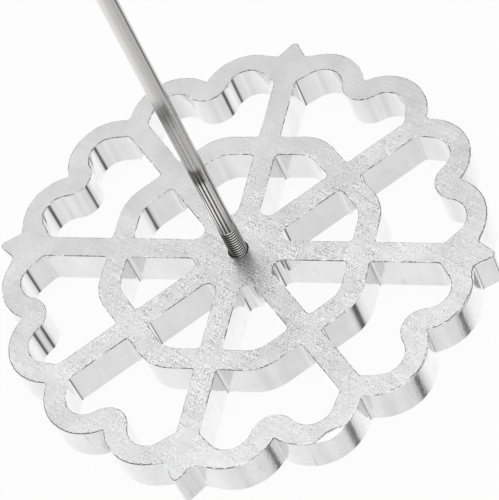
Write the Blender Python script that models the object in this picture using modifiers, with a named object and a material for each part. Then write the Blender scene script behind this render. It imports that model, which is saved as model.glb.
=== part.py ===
"""Rosette iron: a flower sawn from an aluminium bar on a steel rod that screws into its middle.

Metres, +Z up. The flower stands on its flat underside at z = 0 with the rod upright on the
Z axis, and its four pointed cusps lie on the X and Y axes.
"""

import math

import bmesh
import bpy

MM = 0.001

# The flower: eight spokes, two lobes between each pair, a pointed cusp on every second spoke
SPOKES = 8
LOBES = 2 * SPOKES
SPOKES_PER_CUSP = 2
HEAD_HEIGHT = 9.0 * MM
SPOKE_WIDTH = 5.3 * MM

# Its outer edge
CREST_RADIUS = 57.6 * MM
NOTCH_DEPTH = 5.2 * MM
LOBE_NOTCH_ROUND = 0.35 * MM
SPOKE_NOTCH_ROUND = 1.1 * MM
CUSP_REACH = 2.4 * MM
CUSP_TIP_ROUND = 1.1 * MM
CUSP_ROOT_ROUND = 1.0 * MM
CUSP_ROOT_STEP = 0.4 * MM
CUSP_HALF_WIDTH = 2.9 * MM

# The eight outer windows, between the lobed rim and the inner ring
CREST_WALL = 4.8 * MM
NOTCH_WALL = 5.8 * MM
WINDOW_LOBE_ROUND = 5.3 * MM
WINDOW_CORNER_ROUND = 1.8 * MM
WINDOW_CORNER_STEP = 0.7 * MM

# The inner ring, an octagon with round corners, and the eight windows inside it
RING_APOTHEM = 32.0 * MM
RING_WALL = 5.25 * MM
RING_OUTER_ROUND = 10.6 * MM
RING_INNER_ROUND = 6.7 * MM
OUTER_FILLET = 0.9 * MM
INNER_FILLET = 1.2 * MM
HUB_ROUND = 2.2 * MM

# The screwed joint in the middle of the flower, its thread left plain
THREAD_DIAMETER = 4.2 * MM
THREAD_BARE = 8.8 * MM
THREAD_ENGAGED = 6.4 * MM
THREAD_GAP = 0.3 * MM
THREAD_LEAD_IN = 0.5 * MM
HOLE_RIM_DIAMETER = 5.0 * MM
DRILL_POINT_ANGLE = math.radians(118.0)

# The rod, its key inside the grip and the eye bent at its end
ROD_DIAMETER = 4.0 * MM
ROD_CLEAR_LENGTH = 190.0 * MM
ROD_SHOULDER = 0.25 * MM
KEY_WIDTH = 8.0 * MM
KEY_THICKNESS = 2.4 * MM
KEY_LENGTH = 10.0 * MM
KEY_DEPTH = 3.0 * MM
EYE_RADIUS = 9.0 * MM
EYE_NECK = 0.8 * MM
EYE_NECK_ROUND = 5.5 * MM
EYE_END_GAP = 2.8 * MM

# The ferrule, a drawn steel cup over the grip's lower end
FERRULE_DIAMETER = 18.0 * MM
FERRULE_MOUTH_DIAMETER = 19.4 * MM
FERRULE_LENGTH = 17.0 * MM
FERRULE_WALL = 0.9 * MM
FERRULE_EDGE_ROUND = 1.8 * MM
FERRULE_BEAD = 1.6 * MM

# The turned wooden grip and the washer under the eye
GRIP_LENGTH = 95.0 * MM
GRIP_COLLAR_DIAMETER = 20.0 * MM
GRIP_BELLY_DIAMETER = 25.0 * MM
GRIP_WAIST_DIAMETER = 19.5 * MM
GRIP_BULB_DIAMETER = 24.5 * MM
GRIP_END_DIAMETER = 15.5 * MM
GRIP_COLLAR_EDGE = 0.8 * MM
WASHER_DIAMETER = 13.0 * MM
WASHER_THICKNESS = 1.4 * MM
WASHER_EDGE = 0.3 * MM

# Where the grip's swells stand along it, from the ferrule to the end
COLLAR_SHARE = 0.04
BELLY_SHARE = 0.36
WAIST_SHARE = 0.70
BULB_SHARE = 0.91

# Clearances, overruns and the fineness of curves
SEAT_GAP = 0.3 * MM
BORE_GAP = 0.35 * MM
OVERRUN = 2.0 * MM
SAME_POINT = 0.001 * MM
CURVE_TOLERANCE = 0.03 * MM
LEAST_ARC_STEPS = 2
ROUND_STEPS = 32
SMOOTH_ANGLE = math.radians(30.0)
BEVEL_STEPS = 6
BLEND_STEPS = 7
CAP_STEPS = 6

# Places worked out from the sizes above
SPOKE_ANGLE = 2.0 * math.pi / SPOKES
HALF_SPOKE_ANGLE = SPOKE_ANGLE / 2.0
HALF_SPOKE_WIDTH = SPOKE_WIDTH / 2.0
LOBE_ANGLE = 2.0 * math.pi / LOBES
HALF_LOBE_ANGLE = LOBE_ANGLE / 2.0
NOTCH_RADIUS = CREST_RADIUS - NOTCH_DEPTH
CUSP_RADIUS = CREST_RADIUS + CUSP_REACH
ROD_RADIUS = ROD_DIAMETER / 2.0
THREAD_RADIUS = THREAD_DIAMETER / 2.0
HOLE_RADIUS = THREAD_RADIUS + THREAD_GAP
THREAD_TIP_Z = HEAD_HEIGHT - THREAD_ENGAGED
SHOULDER_Z = HEAD_HEIGHT + THREAD_BARE
FERRULE_Z = HEAD_HEIGHT + ROD_CLEAR_LENGTH
FERRULE_TOP_Z = FERRULE_Z + FERRULE_LENGTH
GRIP_Z = FERRULE_TOP_Z + SEAT_GAP
GRIP_TOP_Z = GRIP_Z + GRIP_LENGTH
TENON_Z = FERRULE_Z + FERRULE_WALL + SEAT_GAP
TENON_RADIUS = FERRULE_DIAMETER / 2.0 - FERRULE_WALL - SEAT_GAP
KEY_Z = TENON_Z + KEY_DEPTH
WASHER_Z = GRIP_TOP_Z + SEAT_GAP
NECK_Z = WASHER_Z + WASHER_THICKNESS + EYE_NECK


def clear_scene():
    for old in list(bpy.data.objects):
        bpy.data.objects.remove(old, do_unlink=True)


def collection(name):
    new = bpy.data.collections.new(name)
    bpy.context.scene.collection.children.link(new)
    return new


def material(name, colour, roughness, metallic):
    new = bpy.data.materials.new(name)
    new.use_nodes = True
    shader = new.node_tree.nodes["Principled BSDF"]
    shader.inputs["Base Color"].default_value = (*colour, 1.0)
    shader.inputs["Roughness"].default_value = roughness
    shader.inputs["Metallic"].default_value = metallic
    new.diffuse_color = (*colour, 1.0)
    return new


def mesh_object(name, mesh, group, finish=None):
    new = bpy.data.objects.new(name, mesh)
    group.objects.link(new)
    if finish is not None:
        mesh.materials.append(finish)
        mesh.shade_smooth()
        mesh.set_sharp_from_angle(angle=SMOOTH_ANGLE)
    return new


def cutter(new):
    """Marks a body that only cuts or joins another one."""
    new.hide_render = True
    new.display_type = "WIRE"
    return new


def boolean(target, tool, operation):
    step = target.modifiers.new(operation.lower(), "BOOLEAN")
    step.operation = operation
    step.solver = "EXACT"
    step.object = tool


def curve_to_mesh(curve_object, finish):
    """Turns a filled curve into a mesh object with welded caps, under the same name."""
    name = curve_object.name
    groups = list(curve_object.users_collection)
    graph = bpy.context.evaluated_depsgraph_get()
    mesh = bpy.data.meshes.new_from_object(curve_object.evaluated_get(graph))
    welded = bmesh.new()
    welded.from_mesh(mesh)
    bmesh.ops.remove_doubles(welded, verts=welded.verts, dist=SAME_POINT)
    welded.to_mesh(mesh)
    welded.free()
    place = curve_object.matrix_world.copy()
    bpy.data.objects.remove(curve_object, do_unlink=True)
    mesh.materials.clear()
    new = mesh_object(name, mesh, groups[0], finish)
    new.matrix_world = place
    return new


def turned(name, profile, group, finish=None):
    """Turns a profile of (radius, height) points about Z.

    A closed profile runs down its outer side and up its inner side. One that starts and
    ends on the axis is a solid body.
    """
    mesh = bpy.data.meshes.new(name)
    count = len(profile)
    edges = [(i, i + 1) for i in range(count - 1)]
    if profile[0][0] > 0.0:
        edges.append((count - 1, 0))
    mesh.from_pydata([(radius, 0.0, z) for radius, z in profile], edges, [])
    new = mesh_object(name, mesh, group, finish)
    screw = new.modifiers.new("turn", "SCREW")
    screw.axis = "Z"
    screw.steps = ROUND_STEPS
    screw.render_steps = ROUND_STEPS
    screw.use_merge_vertices = True
    screw.merge_threshold = SAME_POINT
    screw.use_smooth_shade = finish is not None
    return new


def polar(radius, angle):
    return radius * math.cos(angle), radius * math.sin(angle)


def turn(point, angle):
    """Turns a point of the plan about the flower's middle."""
    x, y = point
    return (
        x * math.cos(angle) - y * math.sin(angle),
        x * math.sin(angle) + y * math.cos(angle),
    )


def wrapped(angle):
    return (angle + math.pi) % (2.0 * math.pi) - math.pi


def arc_pieces(radius, sweep):
    """How many straight pieces keep an arc within the tolerance."""
    step = 2.0 * math.acos(max(0.0, 1.0 - CURVE_TOLERANCE / radius))
    return max(LEAST_ARC_STEPS, math.ceil(abs(sweep) / step))


def belt(rounds):
    """Outline that runs round circles like a belt round pulleys, joined by their tangents.

    Each round is (centre, radius). The belt leaves a circle of positive radius on its left
    and one of negative radius on its right. Between two circles it runs along the heading
    at which their centres' sideways distance equals the difference of their radii.
    """
    count = len(rounds)
    headings = []
    for i in range(count):
        (x0, y0), r0 = rounds[i]
        (x1, y1), r1 = rounds[(i + 1) % count]
        lean = (r1 - r0) / math.hypot(x1 - x0, y1 - y0)
        lean = max(-1.0, min(1.0, lean))
        headings.append(math.atan2(y1 - y0, x1 - x0) - math.asin(lean))
    points = []
    for i in range(count):
        (x, y), radius = rounds[i]
        start = headings[i - 1]
        sweep = wrapped(headings[i] - start)
        pieces = arc_pieces(abs(radius), sweep)
        for step in range(pieces + 1):
            heading = start + sweep * step / pieces
            point = (x + radius * math.sin(heading), y - radius * math.cos(heading))
            if not points or math.dist(point, points[-1]) > SAME_POINT:
                points.append(point)
    if math.dist(points[0], points[-1]) < SAME_POINT:
        points.pop()
    return points


def crossing(circle, radius, sideways):
    """Centre of a round that touches a circle from outside, at a given distance sideways."""
    (x, y), circle_radius = circle
    return x + math.sqrt((circle_radius + radius) ** 2 - (y - sideways) ** 2), sideways


def lobe():
    """A lobe's circle, on the X axis, through its crest and the notches beside it."""
    reach = NOTCH_RADIUS * math.cos(HALF_LOBE_ANGLE)
    centre = (CREST_RADIUS**2 - NOTCH_RADIUS**2) / (2.0 * (CREST_RADIUS - reach))
    return (centre, 0.0), CREST_RADIUS - centre


def cusp_rounds():
    """The pointed tip on the X axis and the hollow roots where it leaves the lobes."""
    centre, radius = lobe()
    above = (turn(centre, HALF_LOBE_ANGLE), radius)
    root_y = CUSP_HALF_WIDTH + CUSP_ROOT_ROUND
    root_x = crossing(above, CUSP_ROOT_ROUND, root_y)[0] + CUSP_ROOT_STEP
    return [
        ((root_x, -root_y), -CUSP_ROOT_ROUND),
        ((CUSP_RADIUS - CUSP_TIP_ROUND, 0.0), CUSP_TIP_ROUND),
        ((root_x, root_y), -CUSP_ROOT_ROUND),
    ]


def notch_rounds(radius):
    """The small round in the notch on the X axis, between two lobes."""
    centre, lobe_radius = lobe()
    above = (turn(centre, HALF_LOBE_ANGLE), lobe_radius)
    return [(crossing(above, radius, 0.0), -radius)]


def rim_outline():
    """The flower's outer edge: lobes, notches and cusps in turn."""
    centre, radius = lobe()
    rounds = []
    for index in range(LOBES):
        notch_angle = index * LOBE_ANGLE
        if index % (SPOKES_PER_CUSP * LOBES // SPOKES) == 0:
            between = cusp_rounds()
        elif index % (LOBES // SPOKES) == 0:
            between = notch_rounds(SPOKE_NOTCH_ROUND)
        else:
            between = notch_rounds(LOBE_NOTCH_ROUND)
        rounds += [(turn(place, notch_angle), size) for place, size in between]
        rounds.append((turn(centre, notch_angle + HALF_LOBE_ANGLE), radius))
    return belt(rounds)


def mirrored(rounds):
    """The same rounds in reverse, reflected in the line midway between two spokes."""
    back = []
    for (x, y), radius in reversed(rounds):
        distance = math.hypot(x, y)
        back.append((polar(distance, SPOKE_ANGLE - math.atan2(y, x)), radius))
    return back


def outer_window():
    """Window between two spokes, the lobed rim and the inner ring."""
    lobe_centre = polar(CREST_RADIUS - CREST_WALL - WINDOW_LOBE_ROUND, HALF_LOBE_ANGLE)
    corner = (lobe_centre[0] + WINDOW_CORNER_STEP, HALF_SPOKE_WIDTH + WINDOW_CORNER_ROUND)
    fillet = (RING_APOTHEM + OUTER_FILLET, HALF_SPOKE_WIDTH + OUTER_FILLET)
    half = [(fillet, OUTER_FILLET), (corner, WINDOW_CORNER_ROUND), (lobe_centre, WINDOW_LOBE_ROUND)]

    along, sideways = turn(lobe_centre, -HALF_SPOKE_ANGLE)
    apex = NOTCH_RADIUS - NOTCH_WALL
    inset = apex - along
    bulge = (inset**2 + sideways**2 - WINDOW_LOBE_ROUND**2) / (2.0 * (WINDOW_LOBE_ROUND - inset))
    ring_centre = (RING_APOTHEM - RING_OUTER_ROUND) / math.cos(HALF_SPOKE_ANGLE)
    return belt(
        half
        + [(polar(apex + bulge, HALF_SPOKE_ANGLE), -bulge)]
        + mirrored(half)
        + [(polar(ring_centre, HALF_SPOKE_ANGLE), -RING_OUTER_ROUND)]
    )


def inner_window():
    """Window between two spokes inside the inner ring, round at the hub."""
    apothem = RING_APOTHEM - RING_WALL
    corner = [((apothem - INNER_FILLET, HALF_SPOKE_WIDTH + INNER_FILLET), INNER_FILLET)]
    ring_centre = (apothem - RING_INNER_ROUND) / math.cos(HALF_SPOKE_ANGLE)
    hub_centre = (HALF_SPOKE_WIDTH + HUB_ROUND) / math.sin(HALF_SPOKE_ANGLE)
    return belt(
        [(polar(hub_centre, HALF_SPOKE_ANGLE), HUB_ROUND)]
        + corner
        + [(polar(ring_centre, HALF_SPOKE_ANGLE), RING_INNER_ROUND)]
        + mirrored(corner)
    )


def add_outline(curve, points):
    spline = curve.splines.new("POLY")
    spline.points.add(len(points) - 1)
    for point, (x, y) in zip(spline.points, points):
        point.co = (x, y, 0.0, 1.0)
    spline.use_cyclic_u = True


def tapped_hole(group):
    """Cutter for the blind hole: countersunk rim, bore and drill point."""
    rim_radius = HOLE_RIM_DIAMETER / 2.0
    rim_depth = rim_radius - HOLE_RADIUS
    bottom = THREAD_TIP_Z - SEAT_GAP
    point = bottom - HOLE_RADIUS / math.tan(DRILL_POINT_ANGLE / 2.0)
    profile = [
        (0.0, HEAD_HEIGHT + OVERRUN),
        (rim_radius + OVERRUN, HEAD_HEIGHT + OVERRUN),
        (HOLE_RADIUS, HEAD_HEIGHT - rim_depth),
        (HOLE_RADIUS, bottom),
        (0.0, point),
    ]
    return cutter(turned("hole_cutter", profile, group))


def make_head(group, cutters, finish):
    """The flower: its plan as a flat curve with sixteen windows, thickened and drilled.

    The plan is drawn turned by half the angle between spokes and set straight by the
    object's rotation, because a filled curve tears where several edges lie on one level.
    """
    plan = bpy.data.curves.new("mould_head", "CURVE")
    plan.dimensions = "2D"
    plan.fill_mode = "BOTH"
    plan.extrude = HEAD_HEIGHT / 2.0
    add_outline(plan, [turn(point, HALF_SPOKE_ANGLE) for point in rim_outline()])
    for window in (outer_window(), inner_window()):
        for index in range(SPOKES):
            angle = HALF_SPOKE_ANGLE + index * SPOKE_ANGLE
            add_outline(plan, [turn(point, angle) for point in window])
    flat = bpy.data.objects.new("mould_head", plan)
    flat.location = (0.0, 0.0, HEAD_HEIGHT / 2.0)
    flat.rotation_euler = (0.0, 0.0, -HALF_SPOKE_ANGLE)
    group.objects.link(flat)
    bpy.context.view_layer.update()
    head = curve_to_mesh(flat, finish)
    boolean(head, tapped_hole(cutters), "DIFFERENCE")
    return head


def rod_route():
    """Centre line of the rod in the XZ plane with each point's radius, tip first.

    It rises along the axis, bends to +X round a neck and runs back round the eye, whose
    centre lies on the axis where the two circles touch.
    """
    minor = THREAD_RADIUS - THREAD_LEAD_IN
    route = [
        (0.0, THREAD_TIP_Z, minor),
        (0.0, THREAD_TIP_Z + THREAD_LEAD_IN, THREAD_RADIUS),
        (0.0, SHOULDER_Z - ROD_SHOULDER, THREAD_RADIUS),
        (0.0, SHOULDER_Z, ROD_RADIUS),
    ]
    rise = math.sqrt((EYE_RADIUS + EYE_NECK_ROUND) ** 2 - EYE_NECK_ROUND**2)
    eye_z = NECK_Z + rise
    bend = math.atan2(rise, EYE_NECK_ROUND)
    steps = arc_pieces(EYE_NECK_ROUND, bend)
    for step in range(steps):
        angle = bend * step / steps
        x = EYE_NECK_ROUND * (1.0 - math.cos(angle))
        route.append((x, NECK_Z + EYE_NECK_ROUND * math.sin(angle), ROD_RADIUS))
    opening = 2.0 * math.asin((ROD_DIAMETER + EYE_END_GAP) / (2.0 * EYE_RADIUS))
    sweep = 2.0 * math.pi - opening
    steps = arc_pieces(EYE_RADIUS, sweep)
    for step in range(steps + 1):
        x, z = polar(EYE_RADIUS, sweep * step / steps - bend)
        route.append((x, eye_z + z, ROD_RADIUS))
    return route


def box(name, size, centre, group):
    """Block of a given size with its scale applied."""
    block = bmesh.new()
    bmesh.ops.create_cube(block, size=1.0)
    bmesh.ops.scale(block, vec=size, verts=block.verts)
    mesh = bpy.data.meshes.new(name)
    block.to_mesh(mesh)
    block.free()
    new = mesh_object(name, mesh, group)
    new.location = centre
    return new


def make_rod(group, cutters, finish):
    """The rod: threaded at its foot, flattened to a key in the grip, bent to an eye on top."""
    path = bpy.data.curves.new("handle_rod", "CURVE")
    path.dimensions = "3D"
    path.bevel_depth = ROD_RADIUS
    path.bevel_resolution = BEVEL_STEPS
    path.use_fill_caps = True
    route = rod_route()
    spline = path.splines.new("POLY")
    spline.points.add(len(route) - 1)
    for point, (x, z, radius) in zip(spline.points, route):
        point.co = (x, 0.0, z, 1.0)
        point.radius = radius / ROD_RADIUS
    curve = bpy.data.objects.new("handle_rod", path)
    group.objects.link(curve)
    bpy.context.view_layer.update()
    rod = curve_to_mesh(curve, finish)
    centre = (0.0, 0.0, KEY_Z + KEY_LENGTH / 2.0)
    key = box("rod_key", (KEY_WIDTH, KEY_THICKNESS, KEY_LENGTH), centre, cutters)
    boolean(rod, cutter(key), "UNION")
    return rod


def make_ferrule(group, finish):
    """Drawn cup with a round shoulder, flared to a bead at its mouth and open for the rod."""
    outer = FERRULE_DIAMETER / 2.0
    mouth = FERRULE_MOUTH_DIAMETER / 2.0
    bore = ROD_RADIUS + BORE_GAP
    bead_z = FERRULE_TOP_Z - FERRULE_BEAD
    profile = [(mouth, FERRULE_TOP_Z), (mouth, bead_z), (outer, bead_z - (mouth - outer))]
    for step in range(CAP_STEPS + 1):
        x, z = polar(FERRULE_EDGE_ROUND, math.pi / 2.0 * step / CAP_STEPS)
        shoulder_z = FERRULE_Z + FERRULE_EDGE_ROUND
        profile.append((outer - FERRULE_EDGE_ROUND + x, shoulder_z - z))
    profile += [
        (bore, FERRULE_Z),
        (bore, FERRULE_Z + FERRULE_WALL),
        (outer - FERRULE_WALL, FERRULE_Z + FERRULE_WALL),
        (outer - FERRULE_WALL, FERRULE_TOP_Z),
    ]
    return turned("ferrule", profile, group, finish)


def swell(share):
    """The grip's radius at a share of its length: cosine blends between its swells."""
    stations = [
        (COLLAR_SHARE, GRIP_COLLAR_DIAMETER),
        (BELLY_SHARE, GRIP_BELLY_DIAMETER),
        (WAIST_SHARE, GRIP_WAIST_DIAMETER),
        (BULB_SHARE, GRIP_BULB_DIAMETER),
    ]
    if share <= COLLAR_SHARE:
        return GRIP_COLLAR_DIAMETER / 2.0
    for (start, low), (end, high) in zip(stations, stations[1:]):
        if share <= end:
            blend = (1.0 - math.cos(math.pi * (share - start) / (end - start))) / 2.0
            return (low + (high - low) * blend) / 2.0
    fall = (share - BULB_SHARE) / (1.0 - BULB_SHARE)
    end_radius = GRIP_END_DIAMETER / 2.0
    drop = GRIP_BULB_DIAMETER / 2.0 - end_radius
    return end_radius + drop * math.sqrt(max(0.0, 1.0 - fall**2))


def grip_shares():
    """Places along the grip where its outline has a point, from the ferrule up."""
    stations = [COLLAR_SHARE, BELLY_SHARE, WAIST_SHARE, BULB_SHARE]
    shares = [COLLAR_SHARE]
    for start, end in zip(stations, stations[1:]):
        shares += [start + (end - start) * step / BLEND_STEPS for step in range(1, BLEND_STEPS + 1)]
    for step in range(1, CAP_STEPS + 1):
        fall = math.sin(math.pi / 2.0 * step / CAP_STEPS)
        shares.append(BULB_SHARE + (1.0 - BULB_SHARE) * fall)
    return shares


def grip_outline():
    """Outer profile of the grip from its end down to the collar."""
    return [(swell(share), GRIP_Z + GRIP_LENGTH * share) for share in reversed(grip_shares())]


def make_grip(group, cutters, finish):
    """The turned grip: bored through, stepped down to a tenon and slotted for the key."""
    bore = ROD_RADIUS + BORE_GAP
    collar = GRIP_COLLAR_DIAMETER / 2.0
    profile = grip_outline() + [
        (collar, GRIP_Z + GRIP_COLLAR_EDGE),
        (collar - GRIP_COLLAR_EDGE, GRIP_Z),
        (TENON_RADIUS, GRIP_Z),
        (TENON_RADIUS, TENON_Z + FERRULE_EDGE_ROUND),
        (TENON_RADIUS - FERRULE_EDGE_ROUND, TENON_Z),
        (bore, TENON_Z),
        (bore, GRIP_TOP_Z),
    ]
    grip = turned("grip", profile, group, finish)
    slot_top = KEY_Z + KEY_LENGTH + SEAT_GAP
    slot_foot = TENON_Z - OVERRUN
    size = (KEY_WIDTH + 2.0 * BORE_GAP, KEY_THICKNESS + 2.0 * BORE_GAP, slot_top - slot_foot)
    slot = box("slot_cutter", size, (0.0, 0.0, (slot_top + slot_foot) / 2.0), cutters)
    boolean(grip, cutter(slot), "DIFFERENCE")
    return grip


def make_washer(group, finish):
    """Flat washer between the grip's end and the eye, its edges broken."""
    outer = WASHER_DIAMETER / 2.0
    bore = ROD_RADIUS + BORE_GAP
    top = WASHER_Z + WASHER_THICKNESS
    profile = [
        (outer - WASHER_EDGE, top),
        (outer, top - WASHER_EDGE),
        (outer, WASHER_Z + WASHER_EDGE),
        (outer - WASHER_EDGE, WASHER_Z),
        (bore, WASHER_Z),
        (bore, top),
    ]
    return turned("end_washer", profile, group, finish)


def main():
    clear_scene()
    parts = collection("rosette_iron")
    cutters = collection("cutters")
    aluminium = material("sawn_aluminium", (0.72, 0.72, 0.72), 0.38, 1.0)
    steel = material("polished_steel", (0.60, 0.60, 0.59), 0.18, 1.0)
    plate = material("plated_steel", (0.66, 0.65, 0.62), 0.28, 1.0)
    beech = material("oiled_beech", (0.58, 0.36, 0.19), 0.48, 0.0)
    make_head(parts, cutters, aluminium)
    make_rod(parts, cutters, steel)
    make_ferrule(parts, plate)
    make_grip(parts, cutters, beech)
    make_washer(parts, plate)


main()
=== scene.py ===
"""Looks of the rosette iron: a sawn aluminium flower on a polished steel rod with a beech grip.

Metres, +Z up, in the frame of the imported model. Run as a script it dresses the model, lights
it and sets the camera.
"""

import math

import bmesh
import bpy
import numpy as np
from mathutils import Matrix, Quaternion, Vector
from mathutils.geometry import delaunay_2d_cdt


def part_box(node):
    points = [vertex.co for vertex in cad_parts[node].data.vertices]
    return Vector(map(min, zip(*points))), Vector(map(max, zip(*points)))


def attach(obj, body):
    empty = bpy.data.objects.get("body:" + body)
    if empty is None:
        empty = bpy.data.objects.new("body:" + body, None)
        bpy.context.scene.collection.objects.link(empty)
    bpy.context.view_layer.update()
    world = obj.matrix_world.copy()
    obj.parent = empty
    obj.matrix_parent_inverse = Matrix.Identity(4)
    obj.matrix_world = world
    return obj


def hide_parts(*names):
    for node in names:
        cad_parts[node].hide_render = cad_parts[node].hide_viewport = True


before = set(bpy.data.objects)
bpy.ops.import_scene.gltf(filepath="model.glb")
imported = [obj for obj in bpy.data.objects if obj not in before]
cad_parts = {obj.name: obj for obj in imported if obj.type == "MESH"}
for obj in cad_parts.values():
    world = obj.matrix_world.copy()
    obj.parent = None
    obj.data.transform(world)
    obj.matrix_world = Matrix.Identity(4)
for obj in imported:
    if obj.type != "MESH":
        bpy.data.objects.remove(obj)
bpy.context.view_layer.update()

bl_info = {
    "name": "Rosette Iron",
    "version": (1, 0, 0),
    "blender": (4, 5, 0),
    "location": "3D View > Sidebar > Rosette Iron",
    "description": "Builds the visible pieces of a rosette iron over its packed model",
    "category": "Add Mesh",
}

MM = 0.001

# The flower's pattern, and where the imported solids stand
SPOKES = 8
LOBES = 2 * SPOKES
SPOKES_PER_CUSP = 2
SPOKE_ANGLE = math.tau / SPOKES
LOBE_ANGLE = math.tau / LOBES
HEAD_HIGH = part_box("mould_head")[1]
ROD_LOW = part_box("handle_rod")[0]
FERRULE_LOW, FERRULE_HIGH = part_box("ferrule")
GRIP_LOW, GRIP_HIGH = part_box("grip")
WASHER_LOW, WASHER_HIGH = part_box("end_washer")

# Fineness of the meshes: steps round a circle or an edge, and rows along a piece
TURN_STEP = math.radians(4.0)
OUTLINE_SPACING = 0.6 * MM
SAME_POINT = 0.002 * MM
EDGE_STEPS = 4
ROUND_STEPS = 128
ROD_STEPS = 64
ROWS_PER_TURN = 14
ROD_ROWS = 40
KEY_ROWS = 6
NECK_ROWS = 20
BEND_ROWS = 16
EYE_ROWS = 90
GRIP_ROWS = 120
GRIP_END_ROWS = 24
CORNER_ROWS = 7

# Flat share of the thread's crests and roots, and the power that squares the key's section
THREAD_FLAT = 0.12
KEY_POWER = 0.35

# The flower's finishes by number, in the order in which make_flower lists them
FACE, WALL, EDGE, THREAD, RIM = range(5)

# Wear of the flower's edges; a wear is its longest and shortest wave and how many it has
WEAR_SEED = 7
SEEDS_APART = 10
FINE_WEAR = (6.0 * MM, 0.9 * MM, 24)
BROAD_WEAR = (40.0 * MM, 4.0 * MM, 20)
HELD_HEADING = math.radians(-22.0)

# Marks on the flower: the saw lines' heading, and for the painted shade on the edges a
# heading in radians from +X and how far it reaches from it
SAW_HEADING = math.radians(-26.0)
# Sides where the edges' painted shade is heavier, one where it is thinner, and its reach beside the nick
BROAD_EDGE_SHADE = (0.15, 0.95)
NARROW_EDGE_SHADE = (-2.36, 0.6)
THIN_EDGE_SHADE = (-0.87, 0.5)
NICK_REACH = 0.085

# Radii between which the rim's painted shade, heavier or thinner by side, fades in
RIM_STARTS = (52.0 * MM, 54.0 * MM)

# Headings of the rod's sides, in radians from +X
# Side of the bare rod with a painted highlight
BRIGHT_SIDE = -2.3
# Side with painted shade on the thread and the rod
SHADE_SIDE = -2.0
# Side where the stripes of painted reflection show
STRIPED_SIDE = -1.75
HAND_SIDE = -1.4
# Side of a scuffed stripe that also carries a painted highlight
SCUFF_AND_HIGHLIGHT_SIDE = -0.49
# Side of the rod's dark line of painted reflection
REFLECTION_LINE_SIDE = -0.13
THUMB_SIDE = 0.27
# Side where the thread's painted contrast is greyed
GREY_SIDE = 0.35

# Dark lengthwise stripes of painted reflection: their number round the rod, their turn
# and their slant in radians a metre
STRIPES_AROUND = 15.0
STRIPE_TURN = 0.83
STRIPE_SLANT = 26.0

# Heights of the rod's two smudges
LOW_SMUDGE = HEAD_HIGH.z + 30.5 * MM
HIGH_SMUDGE = HEAD_HIGH.z + 52.5 * MM

# Tones of the light tent below the piece and beside it, each as a share of a full turn from
# the tent's gap and a grey, and the heights on the unit sphere between which they blend
LOW_TONES = (
    (0.0, 0.12), (0.012, 0.13), (0.022, 0.70), (0.045, 0.88), (0.10, 1.06), (0.40, 1.06),
    (0.62, 0.96), (0.72, 0.90), (0.78, 0.80), (0.84, 0.90), (0.91, 0.80), (0.945, 0.84),
    (0.971, 0.62), (0.985, 0.13), (1.0, 0.12),
)
WALL_TONES = (
    (0.0, 0.42), (0.08, 0.50), (0.12, 1.10), (0.24, 1.10), (0.29, 0.55), (0.42, 0.48),
    (0.47, 1.15), (0.58, 1.15), (0.63, 0.50), (0.78, 0.42), (0.83, 1.05), (0.91, 1.05),
    (0.95, 0.42), (1.0, 0.42),
)
LOW_TO_WALLS = (-0.62, -0.45)
WALLS_TO_TOP = (0.30, 0.62)

# The camera's film and nearest distance
SENSOR_MILLIMETRES = 36.0
CLIP_START = 10.0 * MM


def length(name, description, millimetres):
    """A length property with its default in millimetres."""
    return bpy.props.FloatProperty(
        name=name, description=description, default=millimetres * MM,
        min=0.0, precision=5, subtype="DISTANCE", unit="LENGTH",
    )


def place(name, description, millimetres):
    """A property of a place, with its default in millimetres."""
    return bpy.props.FloatVectorProperty(
        name=name, description=description, default=tuple(value * MM for value in millimetres),
        precision=5, subtype="TRANSLATION", unit="LENGTH",
    )


def angle(name, description, degrees):
    """An angle property given in degrees."""
    return bpy.props.FloatProperty(
        name=name, description=description, default=math.radians(degrees),
        subtype="ANGLE", unit="ROTATION",
    )


def colour(name, description, value):
    """A colour property, linear, without alpha."""
    return bpy.props.FloatVectorProperty(
        name=name, description=description, default=value,
        min=0.0, max=1.0, size=3, subtype="COLOR",
    )


def factor(name, description, value):
    """A property between 0 and 1."""
    return bpy.props.FloatProperty(
        name=name, description=description, default=value,
        min=0.0, max=1.0, subtype="FACTOR",
    )


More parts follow.
